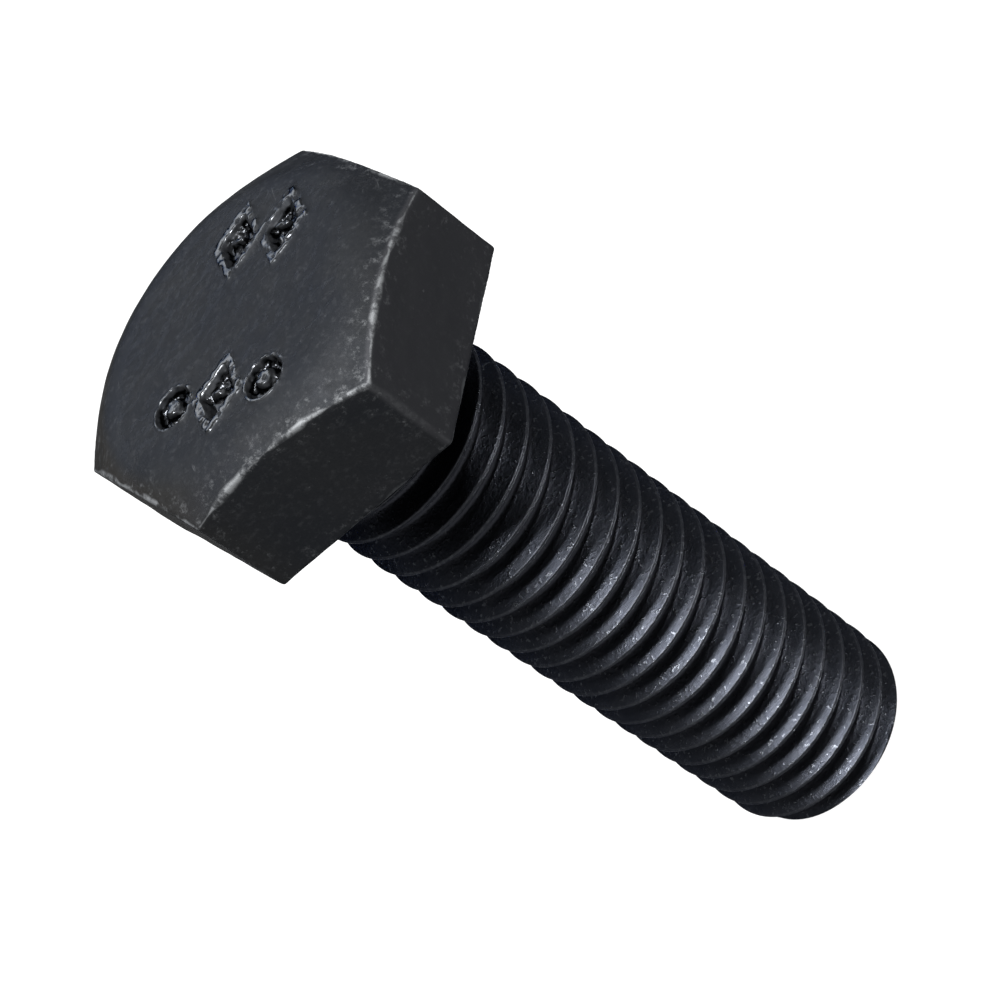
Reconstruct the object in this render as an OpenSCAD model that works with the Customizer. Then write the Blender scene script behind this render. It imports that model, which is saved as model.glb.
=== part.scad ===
// Hexagon head bolt, threaded up to the head: M12 x 1.75, 40 mm long, 19 mm spanner size.
// It stands head up. The origin is at the centre of the bearing face, +Z runs along the
// axis into the head, and the shank hangs below. One forging, drawn as its named regions.

/* [Head] */
// Width across the hexagon's flats
across_flats = 18.85; // [17.5:0.05:24]
// Height of the head, from the bearing face to the crown
head_height = 7.5; // [6:0.1:10]
// Distance from the hexagon's flats in to the flat middle of the crown
crown_inset = 1.325; // [0.6:0.025:2]
// Angle of the corner chamfer, measured from the crown
crown_chamfer_angle = 30; // [15:1:35]
// Distance from the hexagon's flats in to the edge of the raised washer face
washer_face_inset = 0.725; // [0.6:0.025:1.2]
// Height of the raised washer face
washer_face_height = 0.3; // [0.15:0.05:0.6]

/* [Shank] */
// Length from the bearing face to the end of the point
shank_length = 40; // [25:1:80]
// Depth of the plain neck below the thread's crests
neck_step = 0.575; // [0.3:0.025:0.8]
// Radius of the fillet between the neck and the bearing face
underhead_fillet = 1.1; // [0.8:0.1:1.5]
// Length of the rounded point
point_length = 1.8; // [1:0.1:3]
// Width of the rounding at the point, from the crests in to the flat end
point_round = 3.125; // [2:0.125:4]

/* [Thread] */
// Diameter over the thread's crests
thread_d = 11.85; // [11.5:0.05:12]
// Distance from one crest to the next
thread_pitch = 1.75; // [1.25:0.25:1.75]
// Included angle between the thread's flanks
flank_angle = 60; // [55:1:60]
// Length of the run-out, where the crests rise from the neck
run_out = 0.9; // [0.6:0.1:2]

/* [Stamped marks] */
// Depth of the stamped marks
mark_depth = 0.3; // [0.1:0.05:0.5]
// Distance from the edge of the crown's flat middle in to the centre of each row of marks
mark_inset = 3.6; // [3:0.1:4.5]
// Distance of both rows along their own direction from the middle of the crown
mark_shift = 0.8; // [-1:0.1:1]
// Width of one stamped mark
mark_w = 2.2; // [1.6:0.1:2.4]
// Height of one stamped mark
mark_h = 3.2; // [2:0.1:3.4]
// Direction of the rows of marks, from the corner on +X
mark_turn = -30; // [-180:5:180]

/* [Hidden] */
$fn = 96;

// Black, slightly oily heat-treated steel
head_colour = [0.20, 0.21, 0.23];
face_colour = [0.23, 0.24, 0.26];
neck_colour = [0.15, 0.16, 0.18];
thread_colour = [0.17, 0.18, 0.21];
point_colour = [0.19, 0.20, 0.23];

across_corners = across_flats / cos(30);
chamfer_reach = 1;                      // how far the chamfer cone is drawn past the corners
crown_r = across_flats / 2 - crown_inset;
washer_face_r = across_flats / 2 - washer_face_inset;
cone_r = across_corners / 2 + chamfer_reach;
cone_drop = (cone_r - crown_r) * tan(crown_chamfer_angle);

crest_r = thread_d / 2;
crest_flat = thread_pitch / 8;
root_flat = thread_pitch / 6;
half_flank = flank_angle / 2;
thread_depth = (thread_pitch - crest_flat - root_flat) / 2 / tan(half_flank);
core_r = crest_r - thread_depth;

neck_r = crest_r - neck_step;
fillet_r = neck_r + underhead_fillet;   // radius where the fillet meets the bearing face
neck_bottom = -underhead_fillet - run_out;  // the neck tapers to the core over the run-out
point_top = point_length - shank_length;
point_r = crest_r - point_round;

// The ridge is drawn in flat facets, a little past the crest and well past the root. Its
// corners are then cut back to the true crest cylinder, and its root to the true core.
ridge_steps = 24;                       // facets in one turn of the ridge
corner_rise = crest_r * (1 / cos(180 / ridge_steps) - 1);
crest_overcut = 0.94 * corner_rise;
root_overcut = 0.99 * root_flat / 2 / tan(half_flank);  // one turn stays just clear of the next
ridge_out_r = crest_r + crest_overcut;
ridge_in_r = core_r - root_overcut;
crest_half = crest_flat / 2 - crest_overcut * tan(half_flank);
root_half = (thread_pitch - root_flat) / 2 + root_overcut * tan(half_flank);

// The ridge starts above the run-out. Its lower flank comes down past the neck's edge halfway
// along a facet, so that no corner of a facet reaches into the run-out alone.
lead_facets = 5.5;                      // facets before the flank passes the neck's edge
flank_drop = crest_half + (ridge_out_r - neck_r) * tan(half_flank);
ridge_top = -underhead_fillet + flank_drop + lead_facets * thread_pitch / ridge_steps;
ridge_turns = ceil((shank_length + ridge_top + root_half) / thread_pitch);

mark_offset = crown_r - mark_inset;     // from the centre of the crown to each row of marks
mark_gap = 0.9;                         // gap between two marks in a row
mark_overcut = 1;                       // how far the marks' cutter stands above the crown
bar_share = 0.45;                       // share of a mark's width left standing inside it

// A quarter of an ellipse, from the full radius at the point's top to its flat end
function point_curve(steps) = [for (i = [0:steps]) let (a = 90 * i / steps)
    [point_r + (crest_r - point_r) * cos(a), point_top - point_length * sin(a)]];

// The concave fillet, from the bearing face down to the neck
function fillet_curve(steps) = [for (i = [0:steps]) let (a = 90 * i / steps)
    [fillet_r - underhead_fillet * sin(a), -underhead_fillet * (1 - cos(a))]];

// The round outline that the finished thread and point fit in
module blank() {
    rotate_extrude()
        polygon(concat([[0, -underhead_fillet], [neck_r, -underhead_fillet],
                        [crest_r, -underhead_fillet - run_out]], point_curve(10), [[0, -shank_length]]));
}

module core_rod() {
    translate([0, 0, -shank_length]) cylinder(h = shank_length, r = core_r);
}

module neck_solid() {
    rotate_extrude()
        polygon(concat([[0, washer_face_height], [fillet_r, washer_face_height]], fillet_curve(8),
                       [[core_r, neck_bottom], [0, neck_bottom]]));
}

// One stamped lozenge with a raised bar left across its floor
module lozenge() {
    difference() {
        polygon([[mark_w / 2, 0], [0, mark_h / 2], [-mark_w / 2, 0], [0, -mark_h / 2]]);
        square([mark_w * bar_share, mark_h * bar_share / 4], center = true);
    }
}

// One stamped ring
module ring() {
    difference() {
        circle(d = mark_w);
        circle(d = mark_w * bar_share);
    }
}

// Two rows of pockets: two lozenges, and across the crown a lozenge between two rings
module marks() {
    step = mark_w + mark_gap;
    rotate(mark_turn) translate([0, 0, head_height - mark_depth])
        linear_extrude(mark_depth + mark_overcut) for (side = [-1, 1]) {
            translate([mark_shift + side * step / 2, mark_offset]) lozenge();
            translate([mark_shift + side * step, -mark_offset]) ring();
            if (side == 1) translate([mark_shift, -mark_offset]) lozenge();
        }
}

module hex_head() {
    color(head_colour) difference() {
        intersection() {
            translate([0, 0, washer_face_height])
                cylinder(h = head_height - washer_face_height, d = across_corners, $fn = 6);
            rotate_extrude()
                polygon([[0, 0], [cone_r, 0], [cone_r, head_height - cone_drop],
                         [crown_r, head_height], [0, head_height]]);
        }
        marks();
    }
}

module washer_face() {
    color(face_colour) difference() {
        cylinder(h = washer_face_height, r = washer_face_r);
        translate([0, 0, -washer_face_height]) cylinder(h = 3 * washer_face_height, r = fillet_r);
    }
}

module neck() {
    color(neck_colour) neck_solid();
}

module shank_core() {
    color(neck_colour) translate([0, 0, point_top]) cylinder(h = neck_bottom - point_top, r = core_r);
}

// The helix goes down clockwise as seen from the head, which makes the thread right-handed
module ridge() {
    steps = ridge_steps * ridge_turns;
    points = [for (i = [0:steps])
        let (a = -360 * i / ridge_steps, z = ridge_top - thread_pitch * i / ridge_steps)
        for (p = [[ridge_out_r, crest_half], [ridge_out_r, -crest_half],
                  [ridge_in_r, -root_half], [ridge_in_r, root_half]])
            [p[0] * cos(a), p[0] * sin(a), z + p[1]]];
    sides = [for (i = [0:steps - 1], k = [0:3]) let (n = (k + 1) % 4)
        each [[4 * i + k, 4 * i + n, 4 * i + 4 + n], [4 * i + k, 4 * i + 4 + n, 4 * i + 4 + k]]];
    polyhedron(points, concat([[3, 2, 1, 0]], sides, [[for (k = [0:3]) 4 * steps + k]]));
}

module thread() {
    color(thread_colour) intersection() {
        difference() {
            ridge();
            core_rod();
            neck_solid();
        }
        blank();
    }
}

module rounded_point() {
    color(point_colour) intersection() {
        blank();
        translate([0, 0, -shank_length]) cylinder(h = point_length, r = core_r);
    }
}

hex_head();
washer_face();
neck();
shank_core();
thread();
rounded_point();
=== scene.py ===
import math

import bpy
from mathutils import Matrix, Vector, noise


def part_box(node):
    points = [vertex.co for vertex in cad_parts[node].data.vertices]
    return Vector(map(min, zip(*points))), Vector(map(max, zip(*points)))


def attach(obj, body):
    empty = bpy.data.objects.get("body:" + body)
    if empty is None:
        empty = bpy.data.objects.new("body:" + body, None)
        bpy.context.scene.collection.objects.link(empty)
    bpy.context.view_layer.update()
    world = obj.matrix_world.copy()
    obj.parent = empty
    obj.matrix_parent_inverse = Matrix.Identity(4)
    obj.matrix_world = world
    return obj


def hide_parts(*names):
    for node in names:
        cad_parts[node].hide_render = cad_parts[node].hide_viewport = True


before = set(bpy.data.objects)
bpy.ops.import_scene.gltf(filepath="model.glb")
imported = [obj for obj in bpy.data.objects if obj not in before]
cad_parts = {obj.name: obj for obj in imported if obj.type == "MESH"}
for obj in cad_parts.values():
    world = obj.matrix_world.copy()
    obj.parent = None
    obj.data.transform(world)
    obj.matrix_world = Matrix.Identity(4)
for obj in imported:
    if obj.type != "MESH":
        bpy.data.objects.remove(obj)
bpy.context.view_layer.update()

# ---------------------------------------------------------------- forged head
# The hexagon: cold forged from the wire, so its corners are soft and its crown rolls over
# into the corner chamfer. Two rows of marks are stamped into the crown.
MM = 0.001                    # one millimetre, in metres
head_low, head_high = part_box("hex_head")
across_corners = head_high.x - head_low.x
across_flats = across_corners * math.cos(math.radians(30))
crown_z = head_high.z
hexagon_z = head_low.z
CROWN_FLAT_R = 8.1 * MM
CHAMFER_SLOPE = math.tan(math.radians(30))
CROWN_ROUND = 1.1 * MM        # how far the crown rolls over on each side of the chamfer's start
CROWN_CENTRE = Vector((-0.30, -0.17, 0)) * MM     # the heading die sat a little off the axis
HEAD_GRAIN = 0.115 * MM       # spacing of the head's points
ROUND_STEPS = 128             # steps round a turned shape
MARK_DEPTH = 0.4 * MM
MARK_W, MARK_H = 2.2 * MM, 3.2 * MM
MARK_GAP = 0.9 * MM
MARK_OFFSET = 4.5 * MM
MARK_SHIFT = 0.8 * MM
MARK_TURN = math.radians(-30)
MARK_STEPS = 48               # steps round a stamped ring
STANDING = 0.45               # share of a mark's width left standing inside it
LOZENGE_FLOOR, LOZENGE_TOP = 0.36, 0.64   # middle to corner, as shares of the mark's size
RING_DRAFT = 0.12 * MM        # how far a ring's walls lean out on each side of the crown
BURR_WIDTH = 0.16 * MM        # the metal thrown up round a mark by the punch
BURR_HEIGHT = 0.12 * MM
LOZENGE_BURR = 1.6            # a lozenge's burr is this much wider than a ring's


def only(piece):
    """Selects this piece alone and makes it the active one."""
    bpy.ops.object.select_all(action="DESELECT")
    piece.select_set(True)
    bpy.context.view_layer.objects.active = piece


def start_edit(piece):
    """Edit mode on this piece alone, with all of it selected."""
    only(piece)
    bpy.ops.object.mode_set(mode="EDIT")
    bpy.ops.mesh.select_all(action="SELECT")


def end_edit(piece):
    """Back to object mode, with the piece's place put into its mesh."""
    bpy.ops.object.mode_set(mode="OBJECT")
    bpy.ops.object.transform_apply(location=True, rotation=True, scale=True)
    return piece


def named(piece, name):
    """Gives the piece and its mesh this name."""
    piece.name = name
    piece.data.name = name
    return piece


def apply_modifier(piece, kind, **settings):
    """Adds one modifier with these settings and applies it."""
    only(piece)
    modifier = piece.modifiers.new(kind.lower(), kind)
    for key, value in settings.items():
        setattr(modifier, key, value)
    bpy.ops.object.modifier_apply(modifier=modifier.name)


def chain(name, outline):
    """A chain of edges in the XZ plane, pulled out point by point along (radius, height)."""
    bpy.ops.object.select_all(action="DESELECT")
    bpy.ops.mesh.primitive_plane_add(size=MM)
    piece = named(bpy.context.object, name)
    start_edit(piece)
    bpy.ops.mesh.merge(type="CENTER")
    bpy.ops.transform.translate(value=(outline[0][0], 0, outline[0][1]))
    for (r0, z0), (r1, z1) in zip(outline, outline[1:]):
        bpy.ops.mesh.extrude_vertices_move(TRANSFORM_OT_translate={"value": (r1 - r0, 0, z1 - z0)})
    return end_edit(piece)


def lathe(name, outline, steps):
    """A closed turned shape: the outline is spun once round the Z axis."""
    piece = chain(name, outline)
    start_edit(piece)
    bpy.ops.mesh.spin(steps=steps, angle=2 * math.pi, center=(0, 0, 0), axis=(0, 0, 1))
    bpy.ops.mesh.select_all(action="SELECT")
    bpy.ops.mesh.remove_doubles(threshold=MM / 1000)
    bpy.ops.mesh.normals_make_consistent(inside=False)
    return end_edit(piece)


def cut(piece, tool, operation):
    """Cuts the piece with the tool, which is used up."""
    apply_modifier(piece, "BOOLEAN", operation=operation, object=tool, solver="EXACT")
    bpy.data.objects.remove(tool)


# the crown rolls over into the chamfer along a parabola
ROLL_STEPS = 10
cone_r = across_corners / 2 + MM
cone_z = crown_z - (cone_r - CROWN_FLAT_R) * CHAMFER_SLOPE
crown_outline = [(0, -MM), (cone_r, -MM), (cone_r, cone_z)]
for step in range(ROLL_STEPS, -1, -1):
    share = step / ROLL_STEPS
    crown_outline.append((CROWN_FLAT_R + (2 * share - 1) * CROWN_ROUND,
                          crown_z - CHAMFER_SLOPE * CROWN_ROUND * share ** 2))
crown_outline.append((0, crown_z))

bpy.ops.object.select_all(action="DESELECT")
bpy.ops.mesh.primitive_cylinder_add(
    vertices=6, radius=across_corners / 2, depth=crown_z - hexagon_z,
    location=(0, 0, (crown_z + hexagon_z) / 2), rotation=(0, 0, math.radians(30)))
head = named(bpy.context.object, "forged_head")
bpy.ops.object.transform_apply(location=True, rotation=True, scale=True)
crown_tool = lathe("crown_tool", crown_outline, ROUND_STEPS)
crown_tool.data.transform(Matrix.Translation(CROWN_CENTRE))
cut(head, crown_tool, "INTERSECT")


def punch_place(along, across):
    """Where a mark lies on the crown: along its row, and across from the centre."""
    place = Matrix.Rotation(MARK_TURN, 4, "Z") @ Vector((along, across, crown_z))
    return Matrix.Translation(place) @ Matrix.Rotation(MARK_TURN, 4, "Z")


def lozenge_block(grown, depth):
    """A four-sided block, wider at the top, grown outwards by this much."""
    bpy.ops.object.select_all(action="DESELECT")
    bpy.ops.mesh.primitive_cone_add(
        vertices=4, radius1=LOZENGE_FLOOR, radius2=LOZENGE_TOP, depth=2 * depth)
    block = bpy.context.object
    bpy.ops.transform.resize(value=(MARK_W + 2 * grown, MARK_H + 2 * grown, 1))
    bpy.ops.object.transform_apply(location=True, rotation=True, scale=True)
    return block


def lozenge_punch(place):
    """The lozenge's punch, with a slot that leaves a bar standing."""
    punch = lozenge_block(0.0, MARK_DEPTH)
    bpy.ops.object.select_all(action="DESELECT")
    bar = (MARK_W * STANDING, MARK_H * STANDING / 4, 4 * MARK_DEPTH)
    bpy.ops.mesh.primitive_cube_add(size=1, scale=bar)
    cut(punch, bpy.context.object, "DIFFERENCE")
    punch.data.transform(place)
    return punch


def lozenge_burr(place):
    """The low bank of metal thrown up round a lozenge."""
    burr = lozenge_block(LOZENGE_BURR * BURR_WIDTH, BURR_HEIGHT)
    burr.data.transform(place)
    return burr


def ring_burr(place):
    """The low bank of metal thrown up round a ring."""
    reach = MARK_W / 2 + BURR_WIDTH
    outline = [(0, -BURR_HEIGHT), (reach, -BURR_HEIGHT), (reach, BURR_HEIGHT), (0, BURR_HEIGHT)]
    burr = lathe("ring_burr", outline, MARK_STEPS)
    burr.data.transform(place)
    return burr


def ring_punch(place):
    """A round punch, wider at the top, with a hole that leaves a pip standing."""
    outer, inner = MARK_W / 2, MARK_W * STANDING / 2
    outline = [(inner + RING_DRAFT, -MARK_DEPTH), (outer - RING_DRAFT, -MARK_DEPTH),
               (outer + RING_DRAFT, MARK_DEPTH), (inner - RING_DRAFT, MARK_DEPTH),
               (inner + RING_DRAFT, -MARK_DEPTH)]
    punch = lathe("ring_punch", outline, MARK_STEPS)
    punch.data.transform(place)
    return punch


row_step = MARK_W + MARK_GAP
lozenge_places = [punch_place(MARK_SHIFT - row_step / 2, MARK_OFFSET),
                  punch_place(MARK_SHIFT + row_step / 2, MARK_OFFSET),
                  punch_place(MARK_SHIFT, -MARK_OFFSET)]
ring_places = [punch_place(MARK_SHIFT + side * row_step, -MARK_OFFSET) for side in (-1, 1)]
for place in lozenge_places:
    cut(head, lozenge_burr(place), "UNION")
for place in ring_places:
    cut(head, ring_burr(place), "UNION")
for place in lozenge_places:
    cut(head, lozenge_punch(place), "DIFFERENCE")
for place in ring_places:
    cut(head, ring_punch(place), "DIFFERENCE")

apply_modifier(head, "REMESH", mode="VOXEL", voxel_size=HEAD_GRAIN, adaptivity=0.0)
apply_modifier(head, "SMOOTH", factor=0.5, iterations=5)

# forging leaves the faces a little uneven and below their full size, and the punches tear
# the marks' floors and burrs
UNEVEN = 0.030 * MM
UNDERSIZE = 0.6               # how far the faces lie below their full size, in UNEVEN
TORN = 0.20 * MM
TORN_MOST = 0.25              # the highest that torn metal stands, in TORN
MARKS_REACH = 7.3 * MM        # no mark or burr lies further from the axis
outwards = [vertex.normal.copy() for vertex in head.data.vertices]
for vertex, outward in zip(head.data.vertices, outwards):
    spot = vertex.co / MM
    swell = noise.noise(spot * 0.35) + 0.5 * noise.noise(spot * 1.1)
    vertex.co += outward * UNEVEN * (swell - UNDERSIZE)
    off_crown = abs(vertex.co.z - crown_z) / BURR_HEIGHT
    inside_marks = math.hypot(vertex.co.x, vertex.co.y) < MARKS_REACH
    if inside_marks and vertex.co.z > crown_z - 2 * MARK_DEPTH:
        torn = min(noise.noise(spot * 2.6) + 0.6 * noise.noise(spot * 5.5), TORN_MOST)
        vertex.co += outward * TORN * torn * min(off_crown, 1)
head.data.update()
only(head)
bpy.ops.object.shade_smooth()


def set_input(tree, node, key, value):
    """Sets one socket, or links it when the value is another node's socket."""
    if isinstance(value, bpy.types.NodeSocket):
        tree.links.new(value, node.inputs[key])
    else:
        node.inputs[key].default_value = value


def add_node(tree, kind, inputs=None, **settings):
    """One shader node with its settings and its inputs."""
    node = tree.nodes.new(kind)
    for key, value in settings.items():
        setattr(node, key, value)
    for key, value in (inputs or {}).items():
        set_input(tree, node, key, value)
    return node


def math_node(tree, operation, first, second=0.0):
    """One sum of two values; gives its socket."""
    return add_node(tree, "ShaderNodeMath", {0: first, 1: second}, operation=operation).outputs[0]


def fade(tree, value, start, end, low=0.0, high=1.0):
    """A smooth step from low at start to high at end."""
    inputs = {"Value": value, "From Min": start, "From Max": end, "To Min": low, "To Max": high}
    node = add_node(tree, "ShaderNodeMapRange", inputs, interpolation_type="SMOOTHSTEP")
    return node.outputs["Result"]


def grain(tree, place, scale, detail=4.0, roughness=0.55):
    """Noise between 0 and 1, with its scale in waves per millimetre."""
    inputs = {"Vector": place, "Scale": scale / MM, "Detail": detail, "Roughness": roughness}
    return add_node(tree, "ShaderNodeTexNoise", inputs).outputs["Fac"]


def blend_colour(tree, share, first, second):
    """Blends from the first colour to the second by this share."""
    node = add_node(tree, "ShaderNodeMix", data_type="RGBA")
    set_input(tree, node, 0, share)
    set_input(tree, node, 6, first)
    set_input(tree, node, 7, second)
    return node.outputs[2]


def stretched(tree, place, scale, turn):
    """The place squeezed along one direction, for scratches that run the other way."""
    inputs = {"Vector": place, "Scale": scale, "Rotation": (0, 0, turn)}
    return add_node(tree, "ShaderNodeMapping", inputs).outputs[0]


def distance_along(tree, place, facing):
    """How far the place lies from the axis in this direction round it."""
    towards = (math.cos(facing), math.sin(facing), 0)
    node = add_node(tree, "ShaderNodeVectorMath", {0: place, 1: towards}, operation="DOT_PRODUCT")
    return node.outputs["Value"]


def distance_round(tree, place, centre=(0, 0, 0)):
    """How far the place lies from the centre, with its height left out."""
    inputs = {0: place, 1: (1, 1, 0)}
    level = add_node(tree, "ShaderNodeVectorMath", inputs, operation="MULTIPLY").outputs[0]
    node = add_node(tree, "ShaderNodeVectorMath", {0: level, 1: centre}, operation="DISTANCE")
    return node.outputs["Value"]


def effect_group(name, inputs, outputs):
    """A node group with these named sockets; gives the group, its inputs and its output node."""
    group = bpy.data.node_groups.new(name, "ShaderNodeTree")
    for key, kind in inputs.items():
        group.interface.new_socket(name=key, in_out="INPUT", socket_type="NodeSocket" + kind)
    for key, kind in outputs.items():
        group.interface.new_socket(name=key, in_out="OUTPUT", socket_type="NodeSocket" + kind)
    return group, add_node(group, "NodeGroupInput").outputs, add_node(group, "NodeGroupOutput")


# the black oxide film: soft patches of two blacks, with the fine grain of the worked steel
black_film, given, result = effect_group(
    "black_film",
    {"Place": "Vector", "Patches": "Float", "Grain": "Float", "Dark": "Color", "Pale": "Color"},
    {"Colour": "Color", "Grain": "Float"})
patch = add_node(black_film, "ShaderNodeTexNoise", {
    "Vector": given["Place"], "Scale": given["Patches"], "Detail": 4.0, "Roughness": 0.55})
patch_share = fade(black_film, patch.outputs["Fac"], 0.35, 0.65)
film_colour = blend_colour(black_film, patch_share, given["Dark"], given["Pale"])
set_input(black_film, result, "Colour", film_colour)
fine_grain = add_node(black_film, "ShaderNodeTexNoise", {
    "Vector": given["Place"], "Scale": given["Grain"], "Detail": 5.0, "Roughness": 0.6})
set_input(black_film, result, "Grain", fine_grain.outputs["Fac"])

# rubbed specks: the ragged spots where the film is broken, from none at Low to all at High
rubbed_specks, given, result = effect_group(
    "rubbed_specks",
    {"Place": "Vector", "Scale": "Float", "Raggedness": "Float", "Low": "Float", "High": "Float"},
    {"Mask": "Float", "Height": "Float"})
speckle = add_node(rubbed_specks, "ShaderNodeTexNoise", {
    "Vector": given["Place"], "Scale": given["Scale"], "Detail": 4.0, "Roughness": given["Raggedness"]})
speckle_height = speckle.outputs["Fac"]
speckle_mask = fade(rubbed_specks, speckle_height, given["Low"], given["High"])
set_input(rubbed_specks, result, "Mask", speckle_mask)
set_input(rubbed_specks, result, "Height", speckle_height)


def film_node(tree, place, patches, grain_waves, dark, pale):
    """The film placed in a material, with its patches and grain in waves per millimetre."""
    return add_node(tree, "ShaderNodeGroup", {
        "Place": place, "Patches": patches / MM, "Grain": grain_waves / MM, "Dark": dark, "Pale": pale},
        node_tree=black_film).outputs


def specks_node(tree, place, waves, raggedness, low, high):
    """The rubbed specks placed in a material, in waves per millimetre."""
    return add_node(tree, "ShaderNodeGroup", {
        "Place": place, "Scale": waves / MM, "Raggedness": raggedness, "Low": low, "High": high},
        node_tree=rubbed_specks).outputs


# black oxide on forged steel: a dark satin film, worn to bare grey along the edges
FILM_DARK, FILM_PALE = (0.0118, 0.0126, 0.0142, 1), (0.0136, 0.0142, 0.0152, 1)
GRAIN_COLOUR = (0.0086, 0.0094, 0.0110, 1)
BROWNED = (0.0175, 0.0162, 0.0142, 1)       # the film has browned on the -X side of the chamfer
PAINTED_LIGHT_FLAT = (0.0215, 0.0220, 0.0240, 1)        # painted light: one flat is painted paler than the others, for the light that falls on it
PAINTED_LIGHT_FLAT_FACING = math.radians(-30)
FLECK, FLECK_SHARE = (0.030, 0.031, 0.033, 1), 0.40
BARE_STEEL = (0.110, 0.114, 0.118, 1)
WEAR_LEAST, WEAR_MOST = 0.10 * MM, 0.34 * MM
UPRIGHT_WEAR, BASE_WEAR = 0.12, 0.40        # the other edges are less worn than the crown's rim
SCUFF_SHARE, SCRATCH_SHARE, BURR_SHARE = 0.40, 0.22, 0.14
SATIN_LEAST, SATIN_MOST = 0.64, 0.72
STRUCK_GLOSS = 0.46                         # struck metal is this much less rough

head_steel = bpy.data.materials.new("head_black_steel")
head_steel.use_nodes = True
tree = head_steel.node_tree
shader = tree.nodes["Principled BSDF"]
place = add_node(tree, "ShaderNodeTexCoord").outputs["Object"]
x, y, z = add_node(tree, "ShaderNodeSeparateXYZ", {0: place}).outputs
radius = distance_round(tree, place, CROWN_CENTRE)

# how far a spot lies inside the nearest and the next nearest flat, and below the crown
flats = []
for side in range(3):
    along = distance_along(tree, place, math.radians(30 + 60 * side))
    flats.append(math_node(tree, "SUBTRACT", across_flats / 2, math_node(tree, "ABSOLUTE", along)))
nearest = math_node(tree, "MINIMUM", math_node(tree, "MINIMUM", flats[0], flats[1]), flats[2])
furthest = math_node(tree, "MAXIMUM", math_node(tree, "MAXIMUM", flats[0], flats[1]), flats[2])
total = math_node(tree, "ADD", math_node(tree, "ADD", flats[0], flats[1]), flats[2])
middle = math_node(tree, "SUBTRACT", math_node(tree, "SUBTRACT", total, nearest), furthest)
past_flat = math_node(tree, "MAXIMUM", math_node(tree, "SUBTRACT", radius, CROWN_FLAT_R), 0.0)
chamfer_drop = math_node(tree, "MULTIPLY", past_flat, CHAMFER_SLOPE)
below_crown = math_node(tree, "SUBTRACT", math_node(tree, "SUBTRACT", crown_z, chamfer_drop), z)
rim = math_node(tree, "MAXIMUM", nearest, below_crown)
upright = math_node(tree, "MAXIMUM", nearest, middle)
base_edge = math_node(tree, "MAXIMUM", nearest, math_node(tree, "SUBTRACT", z, hexagon_z))

# edges worn in a ragged band
wear_width = fade(tree, grain(tree, place, 0.5, 2.0), 0.35, 0.65, WEAR_LEAST, WEAR_MOST)
rim_wear = fade(tree, math_node(tree, "DIVIDE", rim, wear_width), 1.0, 0.3)
upright_wear = fade(tree, math_node(tree, "DIVIDE", upright, wear_width), 1.0, 0.3, 0.0, UPRIGHT_WEAR)
base_wear = fade(tree, math_node(tree, "DIVIDE", base_edge, wear_width), 1.0, 0.3, 0.0, BASE_WEAR)
edges = math_node(tree, "MAXIMUM", math_node(tree, "MAXIMUM", rim_wear, upright_wear), base_wear)
broken = specks_node(tree, place, 1.1, 0.75, 0.36, 0.62)["Mask"]
edges = math_node(tree, "MULTIPLY", edges, fade(tree, broken, 0.0, 1.0, 0.12, 1.0))

# scuffs spread in from the corners and the rim, and fine scratches cross the faces
near_edge = math_node(tree, "MINIMUM", math_node(tree, "MINIMUM", rim, upright), base_edge)
near_edge = fade(tree, near_edge, 1.7 * MM, 0.1 * MM)
scuffs = math_node(tree, "MULTIPLY", near_edge, specks_node(tree, place, 1.7, 0.8, 0.53, 0.72)["Mask"])
scuffs = math_node(tree, "MULTIPLY", scuffs, SCUFF_SHARE)
scratch_place = stretched(tree, place, (1.0, 0.10, 1.0), math.radians(35))
scratches = fade(tree, grain(tree, scratch_place, 3.6, 2.0, 0.6), 0.70, 0.80)
bare = math_node(tree, "MAXIMUM", math_node(tree, "MAXIMUM", edges, scuffs),
                 math_node(tree, "MULTIPLY", scratches, SCRATCH_SHARE))

# the burrs round the stamped marks are rubbed bright, and their torn floors glint
in_crown = fade(tree, radius, 7.6 * MM, 7.2 * MM)
burred = fade(tree, below_crown, -0.04 * MM, -0.09 * MM)
sunk = math_node(tree, "MULTIPLY", fade(tree, below_crown, 0.08 * MM, 0.20 * MM), in_crown)
bare = math_node(tree, "MAXIMUM", bare, math_node(tree, "MULTIPLY", burred, BURR_SHARE))

# the colour, from the film up to the bare steel
film = film_node(tree, place, 0.25, 7.0, FILM_DARK, FILM_PALE)
fine = film["Grain"]
colour = blend_colour(tree, fade(tree, fine, 0.3, 0.8, 0.0, 0.5), film["Colour"], GRAIN_COLOUR)
on_chamfer = fade(tree, radius, 8.0 * MM, 9.0 * MM, 0.0, 0.6)
browned = math_node(tree, "MULTIPLY", fade(tree, x, -3 * MM, -8 * MM), on_chamfer)
colour = blend_colour(tree, browned, colour, BROWNED)
# painted light: the flat facing -30 degrees is painted paler, standing in for the light that falls on
# it
along = distance_along(tree, place, PAINTED_LIGHT_FLAT_FACING)
painted_light_flat = fade(tree, along, across_flats / 2 - 0.35 * MM, across_flats / 2 - 0.12 * MM)
colour = blend_colour(tree, painted_light_flat, colour, PAINTED_LIGHT_FLAT)
flecks = specks_node(tree, place, 3.0, 0.7, 0.50, 0.75)["Mask"]
colour = blend_colour(tree, math_node(tree, "MULTIPLY", flecks, FLECK_SHARE), colour, FLECK)
set_input(tree, shader, "Base Color", blend_colour(tree, bare, colour, BARE_STEEL))
shader.inputs["Metallic"].default_value = 1.0
shader.inputs["Specular Tint"].default_value = (0.30, 0.31, 0.33, 1)

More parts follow.
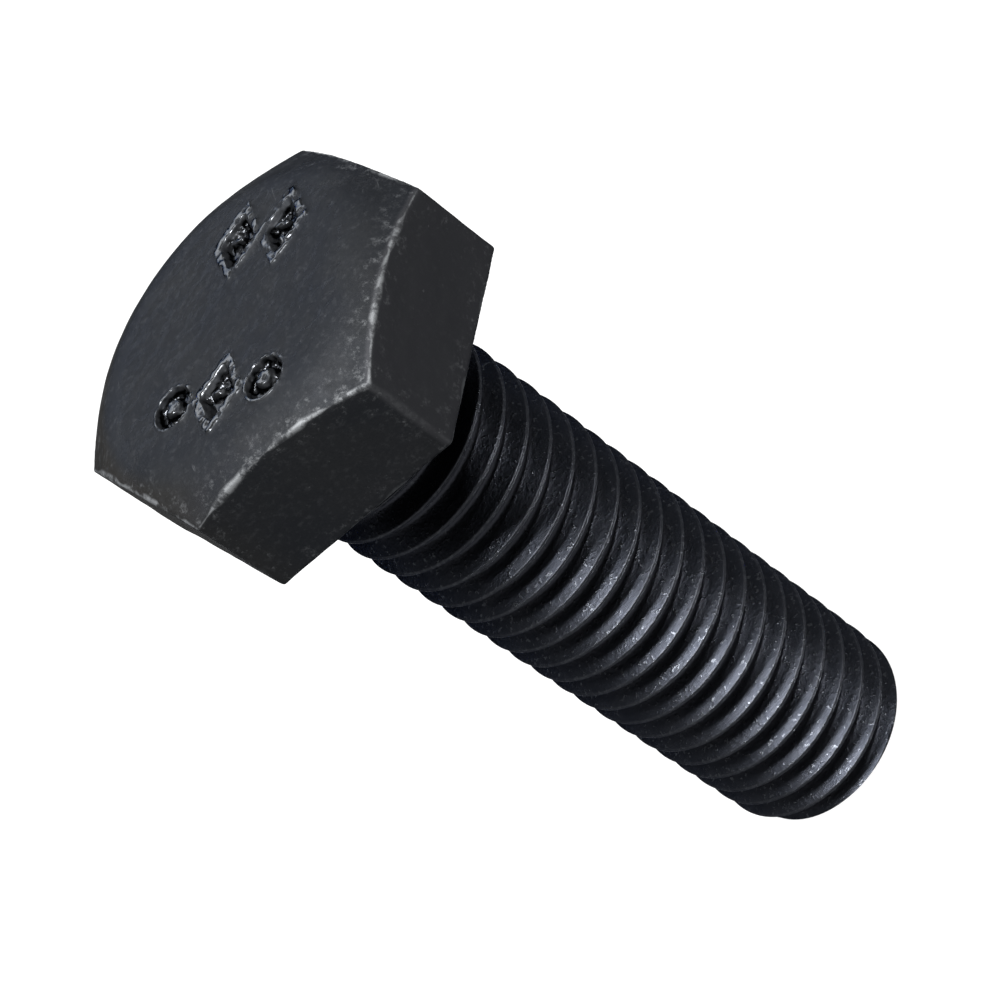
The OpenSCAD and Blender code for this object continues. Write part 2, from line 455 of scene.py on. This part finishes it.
# satin all over, glossier where the punches struck, with the grain as a fine bump
patchy = grain(tree, place, 1.3)
dull = fade(tree, patchy, 0.3, 0.7, SATIN_LEAST, SATIN_MOST)
struck = math_node(tree, "MULTIPLY", math_node(tree, "MAXIMUM", sunk, burred), STRUCK_GLOSS)
set_input(tree, shader, "Roughness", math_node(tree, "SUBTRACT", dull, struck))
height = math_node(tree, "ADD", math_node(tree, "MULTIPLY", fine, 0.5),
                   math_node(tree, "SUBTRACT", math_node(tree, "MULTIPLY", patchy, 0.6),
                             math_node(tree, "MULTIPLY", scratches, 0.25)))
bump = add_node(tree, "ShaderNodeBump", {"Strength": 0.5, "Distance": 0.02 * MM, "Height": height})
set_input(tree, shader, "Normal", bump.outputs[0])
head.data.materials.clear()
head.data.materials.append(head_steel)

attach(head, "root")
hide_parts("hex_head")

# ---------------------------------------------------------------- washer face
# The bearing ring under the head: part of the same steel, coined flat by the forging die,
# with a small round on its lower edge.
washer_low, washer_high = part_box("washer_face")
neck_low, neck_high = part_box("neck")
fillet_r = neck_high.x
washer_r = washer_high.x
WASHER_ROUND = 0.1 * MM
washer_outline = [
    (fillet_r, washer_low.z), (washer_r - WASHER_ROUND, washer_low.z),
    (washer_r, washer_low.z + WASHER_ROUND), (washer_r, washer_high.z),
    (fillet_r, washer_high.z), (fillet_r, washer_low.z)]
washer = lathe("washer_ring", washer_outline, ROUND_STEPS)
only(washer)
bpy.ops.object.shade_smooth_by_angle(angle=math.radians(30))
washer.data.materials.clear()
washer.data.materials.append(head_steel)

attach(washer, "root")
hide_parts("washer_face")

# ---------------------------------------------------------------- threaded shank
# The shank: the thread is rolled on, so the root is round, the crest keeps a fine seam where
# the two sides of the metal met, and the end of the wire is rounded into the point.
PITCH = 1.75 * MM
NECK_R = 5.35 * MM
POINT_LENGTH = 1.8 * MM
POINT_R = 2.8 * MM            # radius of the flat end
CREST_START = -0.258 * MM     # height of a crest on the +X side
THREAD_STEPS = 96             # steps in one turn
FILLET_STEPS = 8
POINT_STEPS = 8
crest_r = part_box("thread")[1].x
core_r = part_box("shank_core")[1].x
shank_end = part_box("rounded_point")[0].z
point_top = shank_end + POINT_LENGTH
under_fillet = fillet_r - NECK_R
run_out_top = -under_fillet
run_out = run_out_top - neck_low.z

# half of the rolled profile, from the root's middle to the seam: (share of pitch, drop)
depth = crest_r - core_r
half_profile = [
    (0.0, depth), (0.045, depth - 0.004 * MM), (0.085, depth - 0.03 * MM),
    (0.12, depth - 0.09 * MM), (0.20, depth - 0.30 * MM), (0.29, depth - 0.57 * MM),
    (0.38, depth - 0.84 * MM), (0.425, 0.09 * MM), (0.445, 0.03 * MM),
    (0.465, 0.004 * MM), (0.482, 0.0), (0.5, 0.028 * MM)]
full_profile = half_profile + [(1 - share, drop) for share, drop in half_profile[-2::-1]]
turns = math.ceil(-shank_end / PITCH) + 2
start_z = CREST_START - PITCH / 2 - (turns - 1) * PITCH
rolled_outline = [(crest_r - drop, start_z + share * PITCH) for share, drop in full_profile]
shank = chain("threaded_shank", rolled_outline)
apply_modifier(shank, "SCREW", axis="Z", angle=2 * math.pi, screw_offset=PITCH, iterations=turns,
               steps=THREAD_STEPS, render_steps=THREAD_STEPS)
start_edit(shank)
bpy.ops.mesh.remove_doubles(threshold=MM / 500)
bpy.ops.object.mode_set(mode="OBJECT")


def point_radius(z):
    """The rounded point's radius at this height."""
    into = min(max((point_top - z) / POINT_LENGTH, 0), 1)
    return POINT_R + (crest_r - POINT_R) * math.sqrt(1 - into ** 2)


# the crests rise from the neck over the run-out, and are rounded off at the point
for vertex in shank.data.vertices:
    x, y, z = vertex.co
    radius = math.hypot(x, y)
    raised = min(max((run_out_top - z) / run_out, 0), 1)
    shaped = min(NECK_R + (radius - NECK_R) * raised, point_radius(z))
    vertex.co = (x * shaped / radius, y * shaped / radius, z)

# the loose ends of the helix are cut off square, where the shank is round
point_cut = shank_end + 0.4 * MM
start_edit(shank)
bpy.ops.mesh.bisect(plane_co=(0, 0, run_out_top), plane_no=(0, 0, 1), clear_outer=True)
bpy.ops.mesh.select_all(action="SELECT")
bpy.ops.mesh.bisect(plane_co=(0, 0, point_cut), plane_no=(0, 0, 1), clear_inner=True)


def pull_edge(start, route):
    """Pulls the open edge at the start through the route's (radius, height) points and closes it."""
    bpy.ops.mesh.select_mode(type="VERT")
    bpy.ops.mesh.select_all(action="DESELECT")
    bpy.ops.object.mode_set(mode="OBJECT")
    for vertex in shank.data.vertices:
        vertex.select = abs(vertex.co.z - start[1]) < MM / 200
    bpy.ops.object.mode_set(mode="EDIT")
    last_r, last_z = start
    for radius, z in route:
        bpy.ops.mesh.extrude_region_move(TRANSFORM_OT_translate={"value": (0, 0, z - last_z)})
        bpy.ops.transform.resize(value=(radius / last_r, radius / last_r, 1), center_override=(0, 0, z))
        last_r, last_z = radius, z
    bpy.ops.mesh.edge_face_add()


fillet_route = []
for step in range(1, FILLET_STEPS + 1):
    bend = math.pi / 2 * step / FILLET_STEPS
    fillet_route.append((NECK_R + under_fillet * (1 - math.cos(bend)),
                         run_out_top + under_fillet * math.sin(bend)))
fillet_route.append((fillet_r, washer_high.z))
pull_edge((NECK_R, run_out_top), fillet_route)

cut_bend = math.asin((point_top - point_cut) / POINT_LENGTH)
point_route = []
for step in range(1, POINT_STEPS + 1):
    bend = cut_bend + (math.pi / 2 - cut_bend) * step / POINT_STEPS
    point_route.append((POINT_R + (crest_r - POINT_R) * math.cos(bend),
                        point_top - POINT_LENGTH * math.sin(bend)))
pull_edge((point_radius(point_cut), point_cut), point_route)
bpy.ops.mesh.select_all(action="SELECT")
bpy.ops.mesh.normals_make_consistent(inside=False)
end_edit(shank)
only(shank)
bpy.ops.object.shade_smooth_by_angle(angle=math.radians(40))

# black oxide on rolled steel, lightly oiled: glossier than the head, with painted light in the
# roots that lifts their shade, worn along the crests, with small smooth specks that glint
THREAD_DARK, THREAD_PALE = (0.0088, 0.0097, 0.0122, 1), (0.0108, 0.0117, 0.0143, 1)
ROOT_PAINTED_LIGHT = (0.0190, 0.0200, 0.0240, 1)
WORN_CREST = (0.040, 0.042, 0.047, 1)
SPECK = (0.026, 0.028, 0.032, 1)
OILED_ROUGHNESS, SPECK_ROUGHNESS = 0.31, 0.20

thread_steel = bpy.data.materials.new("thread_black_steel")
thread_steel.use_nodes = True
tree = thread_steel.node_tree
shader = tree.nodes["Principled BSDF"]
place = add_node(tree, "ShaderNodeTexCoord").outputs["Object"]
radius = distance_round(tree, place)
film = film_node(tree, place, 0.9, 9.0, THREAD_DARK, THREAD_PALE)
pits = specks_node(tree, place, 4.0, 0.7, 0.40, 0.72)
at_crest = fade(tree, radius, crest_r - 0.11 * MM, crest_r - 0.01 * MM)
worn_crest = math_node(tree, "MULTIPLY", at_crest, fade(tree, pits["Mask"], 0.0, 1.0, 0.30, 0.85))
# painted light: the roots are painted paler, lifting the shade that falls in them
roots_painted_light = fade(tree, radius, core_r + 0.5 * MM, core_r)
colour = blend_colour(tree, roots_painted_light, film["Colour"], ROOT_PAINTED_LIGHT)
colour = blend_colour(tree, worn_crest, colour, WORN_CREST)
specks = specks_node(tree, place, 4.0, 0.6, 0.58, 0.66)["Mask"]
set_input(tree, shader, "Base Color", blend_colour(tree, specks, colour, SPECK))
shader.inputs["Metallic"].default_value = 1.0
shader.inputs["Specular Tint"].default_value = (0.30, 0.31, 0.34, 1)
set_input(tree, shader, "Roughness", fade(tree, specks, 0.0, 1.0, OILED_ROUGHNESS, SPECK_ROUGHNESS))
height = math_node(tree, "ADD", math_node(tree, "MULTIPLY", film["Grain"], 0.7),
                   math_node(tree, "MULTIPLY", pits["Height"], 1.7))
bump = add_node(tree, "ShaderNodeBump", {"Strength": 0.8, "Distance": 0.024 * MM, "Height": height})
set_input(tree, shader, "Normal", bump.outputs[0])
shank.data.materials.clear()
shank.data.materials.append(thread_steel)

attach(shank, "root")
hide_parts("neck", "shank_core", "thread", "rounded_point")

# ---------------------------------------------------------------- camera
# A long lens a little over a hand's width from the bolt, above the head's rim and rolled
# so that the bolt lies across the frame from the head at the upper left.
eye = Vector((50.29, -113.09, 80.38)) * MM
camera_right = Vector((0.72504, -0.21280, -0.65501))
camera_up = Vector((0.60771, 0.64518, 0.46307))
camera_data = bpy.data.cameras.new("camera")
camera_data.sensor_width = 36.0
camera_data.lens = 109.3
camera_data.clip_start = 0.01
camera_data.clip_end = 10.0
camera = bpy.data.objects.new("camera", camera_data)
bpy.context.scene.collection.objects.link(camera)
camera_back = camera_right.cross(camera_up)
turn = Matrix((camera_right, camera_up, camera_back)).transposed().to_4x4()
camera.matrix_world = Matrix.Translation(eye) @ turn
bpy.context.scene.camera = camera

# ---------------------------------------------------------------- floor and light
# A plain white light table under the point, an even white surround and three soft lamps:
# over the crown, behind, and a small one at the side for the glints on the thread.
FLOOR_R = 3.0
floor_material = bpy.data.materials.new("light_table")
floor_material.use_nodes = True
floor_shader = floor_material.node_tree.nodes["Principled BSDF"]
floor_shader.inputs["Base Color"].default_value = (0.05, 0.05, 0.05, 1)
floor_shader.inputs["Roughness"].default_value = 0.9
floor_shader.inputs["Specular IOR Level"].default_value = 0.0
floor_shader.inputs["Emission Color"].default_value = (1, 1, 1, 1)
floor_shader.inputs["Emission Strength"].default_value = 1.0
bpy.ops.object.select_all(action="DESELECT")
bpy.ops.mesh.primitive_circle_add(
    vertices=96, radius=FLOOR_R, fill_type="NGON", location=(0, 0, shank_end))
floor = named(bpy.context.object, "floor")
floor.data.materials.append(floor_material)

world = bpy.data.worlds.new("surround")
bpy.context.scene.world = world
world.use_nodes = True
world.node_tree.nodes["Background"].inputs["Color"].default_value = (1, 1, 1, 1)
world.node_tree.nodes["Background"].inputs["Strength"].default_value = 1.0
bpy.context.scene.view_settings.view_transform = "Standard"


def lamp(name, direction, distance, size, radiance):
    """A square soft lamp, turned towards the bolt, that shines with this radiance."""
    data = bpy.data.lights.new(name, "AREA")
    data.size = size
    data.energy = radiance * math.pi * size ** 2
    light = bpy.data.objects.new(name, data)
    bpy.context.scene.collection.objects.link(light)
    middle = Vector((0, 0, shank_end / 2))
    towards = Vector(direction).normalized()
    light.location = middle + towards * distance
    light.rotation_mode = "QUATERNION"
    light.rotation_quaternion = towards.to_track_quat("Z", "Y")


lamp("overhead", (-0.01, -0.29, 0.95), 0.5, 0.12, 206.0)
lamp("behind", (-0.32, 0.73, 0.60), 0.6, 0.5, 11.5)
lamp("side", (0.58, -0.27, 0.77), 0.5, 0.03, 740.0)
